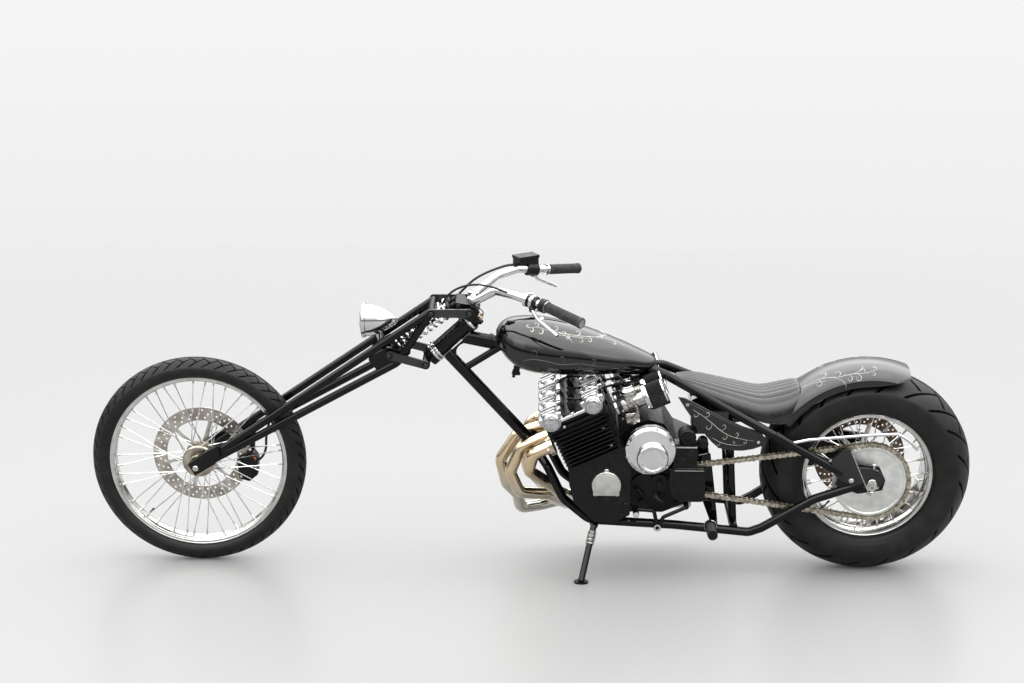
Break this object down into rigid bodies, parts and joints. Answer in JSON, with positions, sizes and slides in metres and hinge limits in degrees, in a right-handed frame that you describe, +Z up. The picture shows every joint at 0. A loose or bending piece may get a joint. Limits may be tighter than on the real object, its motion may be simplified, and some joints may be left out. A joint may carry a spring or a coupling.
{
  "type": "chopper motorcycle",
  "caption": "Long-forked chopper motorcycle with a girder fork, an air-cooled in-line engine, wire wheels and a side stand, parked leaning on the stand.",
  "frame": {"origin": "on the floor, under the middle of the parked machine's box", "axes": "+X forward, +Y to the rider's left, +Z up from the floor"},
  "size_m": [2.7702, 0.6729, 0.99],
  "materials": {
    "gloss_black_paint": "gloss black paint",
    "frame_black": "satin black paint",
    "engine_black": "wrinkle black engine paint",
    "link_grey": "dark grey paint",
    "chrome": "polished chrome",
    "alloy": "polished and cast alloy",
    "rim_steel": "polished spokes and rim",
    "disc_steel": "ground steel",
    "chain_steel": "dull brassy steel",
    "header_steel": "stainless with a gold heat tint",
    "tyre_rubber": "black rubber with tread",
    "grip_rubber": "ribbed dark grey rubber",
    "hose_rubber": "black sheath",
    "seat_leather": "black tuck and roll leather",
    "filter_black": "black pleated filter",
    "lamp_glass": "clear lamp glass"
  },
  "bodies": {
    "chassis": {"headstock": "frame_black", "backbone": "frame_black", "down_tube": "frame_black", "cradle": "frame_black", "seat_stays": "frame_black", "rear_uprights": "frame_black", "crankcase": "engine_black", "cylinder_block": "engine_black", "cylinder_head": "engine_black", "cam_covers": "chrome", "engine_covers": "chrome", "sprocket_cover": "engine_black", "carburettors": "alloy", "air_filters": "filter_black", "exhaust": "header_steel", "fuel_tank": "gloss_black_paint", "seat": "seat_leather", "rear_fender": "gloss_black_paint", "side_panels": "gloss_black_paint", "foot_controls": "frame_black", "chain": "chain_steel", "chain_guard": "chrome", "rear_caliper": "engine_black", "rear_axle": "chrome"},
    "steering": {"steering_trees": "frame_black", "girder_legs": "frame_black", "fork_links": "link_grey", "fork_springs": "chrome", "handlebar": "chrome", "grips": "grip_rubber", "bar_controls": "engine_black", "headlight_shell": "chrome", "headlight_lens": "lamp_glass", "front_caliper": "engine_black", "front_axle": "chrome", "brake_hose": "hose_rubber", "clutch_cable": "hose_rubber"},
    "front_wheel": {"front_tyre": "tyre_rubber", "front_wheel": "rim_steel", "front_disc": "disc_steel"},
    "rear_wheel": {"rear_tyre": "tyre_rubber", "rear_wheel": "rim_steel", "rear_disc": "disc_steel", "rear_sprocket": "rim_steel"},
    "side_stand": {"side_stand": "frame_black"}
  },
  "joints": [
    {"name": "steering_turn", "type": "hinge", "parent": "chassis", "child": "steering", "pos_m": [0.2945, -0.00086, 0.69914], "axis": [-0.7314, 0.1014, 0.6744], "range_deg": [-25, 25]},
    {"name": "front_wheel_spin", "type": "hinge", "parent": "steering", "child": "front_wheel", "pos_m": [1.0475, -0.05558, 0.33518], "axis": [0, 0.9889, -0.1487], "continuous": true},
    {"name": "rear_wheel_spin", "type": "hinge", "parent": "chassis", "child": "rear_wheel", "pos_m": [-1.0555, -0.05664, 0.3281], "axis": [0, 0.9889, -0.1487], "continuous": true},
    {"name": "stand_fold", "type": "hinge", "parent": "chassis", "child": "side_stand", "pos_m": [-0.2015, 0.07091, 0.16756], "axis": [0.1394, 0.8803, 0.4534], "range_deg": [0, 95]}
  ]
}
